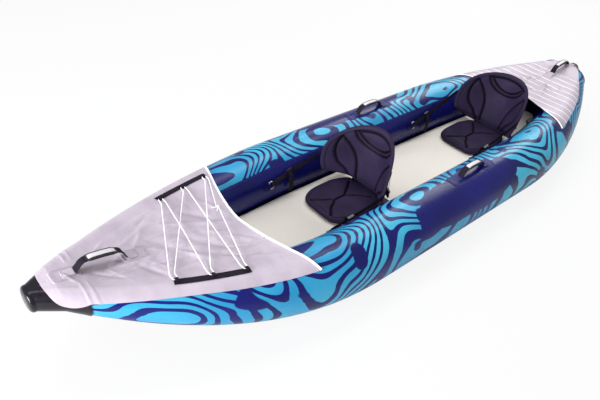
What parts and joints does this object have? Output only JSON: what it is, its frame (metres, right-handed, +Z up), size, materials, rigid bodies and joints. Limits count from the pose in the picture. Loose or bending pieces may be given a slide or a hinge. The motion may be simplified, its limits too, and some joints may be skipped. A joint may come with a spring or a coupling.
{
  "type": "inflatable tandem kayak",
  "caption": "Inflatable two-seat kayak with side air tubes, an air floor, cloth decks, laced front deck, folding winged seats on straps, carrying handles and sprung air valves.",
  "frame": {"origin": "on the ground under the middle of the hull", "axes": "+X to the bow, +Y to port, +Z up"},
  "size_m": [3.4, 0.904, 0.3955],
  "materials": {
    "tube_skin": "smooth glossy PVC skin",
    "floor_skin": "woven-faced drop-stitch PVC",
    "cap_rubber": "moulded rubber, satin",
    "deck_cloth": "coated woven cloth",
    "piping": "smooth piping",
    "webbing": "woven webbing",
    "lacing_cord": "braided cord",
    "grip": "moulded grip sleeve",
    "metal": "bright wire",
    "seat_pad": "foam faced with cloth",
    "valve": "moulded nylon",
    "valve_stem": "moulded nylon"
  },
  "bodies": {
    "hull": {"port_tube": "tube_skin", "starboard_tube": "tube_skin", "hull_bottom": "tube_skin", "air_floor": "floor_skin", "bow_cap": "cap_rubber", "stern_cap": "cap_rubber", "front_deck": "deck_cloth", "rear_deck": "deck_cloth", "front_deck_piping": "piping", "rear_deck_piping": "piping", "port_lace_strip": "webbing", "starboard_lace_strip": "webbing", "deck_lacing": "lacing_cord", "ring_patches": "tube_skin", "strap_rings": "metal", "bow_handle_patches": "deck_cloth", "bow_handle_strap": "webbing", "stern_handle_patches": "deck_cloth", "stern_handle_strap": "webbing", "port_handle_patches": "tube_skin", "port_handle_strap": "webbing", "starboard_handle_patches": "tube_skin", "starboard_handle_strap": "webbing", "front_seat_base": "seat_pad", "front_seat_hinge": "webbing", "front_port_strap": "webbing", "front_port_buckle": "metal", "front_starboard_strap": "webbing", "front_starboard_buckle": "metal", "rear_seat_base": "seat_pad", "rear_seat_hinge": "webbing", "rear_port_strap": "webbing", "rear_port_buckle": "metal", "rear_starboard_strap": "webbing", "rear_starboard_buckle": "metal", "port_valve_body": "valve", "port_valve_spring": "metal", "starboard_valve_body": "valve", "starboard_valve_spring": "metal", "floor_valve_body": "valve", "floor_valve_spring": "metal"},
    "front_backrest": {"front_seat_back": "seat_pad", "front_seat_tails": "webbing"},
    "rear_backrest": {"rear_seat_back": "seat_pad", "rear_seat_tails": "webbing"},
    "bow_grip": {"bow_handle_grip": "grip"},
    "stern_grip": {"stern_handle_grip": "grip"},
    "port_grip": {"port_handle_grip": "grip"},
    "starboard_grip": {"starboard_handle_grip": "grip"},
    "port_cap": {"port_valve_cap": "valve"},
    "port_stem": {"port_valve_stem": "valve_stem"},
    "starboard_cap": {"starboard_valve_cap": "valve"},
    "starboard_stem": {"starboard_valve_stem": "valve_stem"},
    "floor_cap": {"floor_valve_cap": "valve"},
    "floor_stem": {"floor_valve_stem": "valve_stem"}
  },
  "joints": [
    {"name": "front_backrest_fold", "type": "hinge", "parent": "hull", "child": "front_backrest", "pos_m": [0.176, 0, 0.0902], "axis": [0, 1, 0], "range_deg": [-30, 8], "deforming": ["front_port_strap", "front_starboard_strap", "front_seat_hinge"]},
    {"name": "rear_backrest_fold", "type": "hinge", "parent": "hull", "child": "rear_backrest", "pos_m": [-0.823, 0, 0.10293], "axis": [0, 1, 0], "range_deg": [-20, 26], "deforming": ["rear_port_strap", "rear_starboard_strap", "rear_seat_hinge"]},
    {"name": "bow_handle_tilt", "type": "hinge", "parent": "hull", "child": "bow_grip", "pos_m": [1.46156, 0, 0.33216], "axis": [0.9853, 0, 0.1707], "range_deg": [-55, 55], "stiffness_Nm_per_rad": 0.06, "deforming": ["bow_handle_strap"]},
    {"name": "stern_handle_tilt", "type": "hinge", "parent": "hull", "child": "stern_grip", "pos_m": [-1.47771, 0, 0.31514], "axis": [0.9937, 0, -0.1123], "range_deg": [-55, 55], "stiffness_Nm_per_rad": 0.06, "deforming": ["stern_handle_strap"]},
    {"name": "port_handle_tilt", "type": "hinge", "parent": "hull", "child": "port_grip", "pos_m": [-0.125, 0.321, 0.2665], "axis": [1, 0, 0], "range_deg": [-55, 55], "stiffness_Nm_per_rad": 0.06, "deforming": ["port_handle_strap"]},
    {"name": "starboard_handle_tilt", "type": "hinge", "parent": "hull", "child": "starboard_grip", "pos_m": [-0.125, -0.321, 0.2665], "axis": [1, 0, 0], "range_deg": [-55, 55], "stiffness_Nm_per_rad": 0.06, "deforming": ["starboard_handle_strap"]},
    {"name": "port_cap_turn", "type": "hinge", "parent": "hull", "child": "port_cap", "pos_m": [-0.88, 0.19166, 0.22125], "axis": [0.1456, -0.7849, 0.6023], "range_deg": [0, 120]},
    {"name": "port_stem_press", "type": "slide", "parent": "hull", "child": "port_stem", "axis": [0.1456, -0.7849, 0.6023], "range_m": [-0.005, 0], "stiffness_N_per_m": 400, "springref_m": 0.004, "deforming": ["port_valve_spring"]},
    {"name": "starboard_cap_turn", "type": "hinge", "parent": "hull", "child": "starboard_cap", "pos_m": [-0.88, -0.19166, 0.22125], "axis": [0.1456, 0.7849, 0.6023], "range_deg": [0, 120]},
    {"name": "starboard_stem_press", "type": "slide", "parent": "hull", "child": "starboard_stem", "axis": [0.1456, 0.7849, 0.6023], "range_m": [-0.005, 0], "stiffness_N_per_m": 400, "springref_m": 0.004, "deforming": ["starboard_valve_spring"]},
    {"name": "floor_cap_turn", "type": "hinge", "parent": "hull", "child": "floor_cap", "pos_m": [-0.88, 0, 0.09597], "axis": [0.1154, 0, 0.9933], "range_deg": [0, 120]},
    {"name": "floor_stem_press", "type": "slide", "parent": "hull", "child": "floor_stem", "axis": [0.1154, 0, 0.9933], "range_m": [-0.005, 0], "stiffness_N_per_m": 400, "springref_m": 0.004, "deforming": ["floor_valve_spring"]}
  ]
}
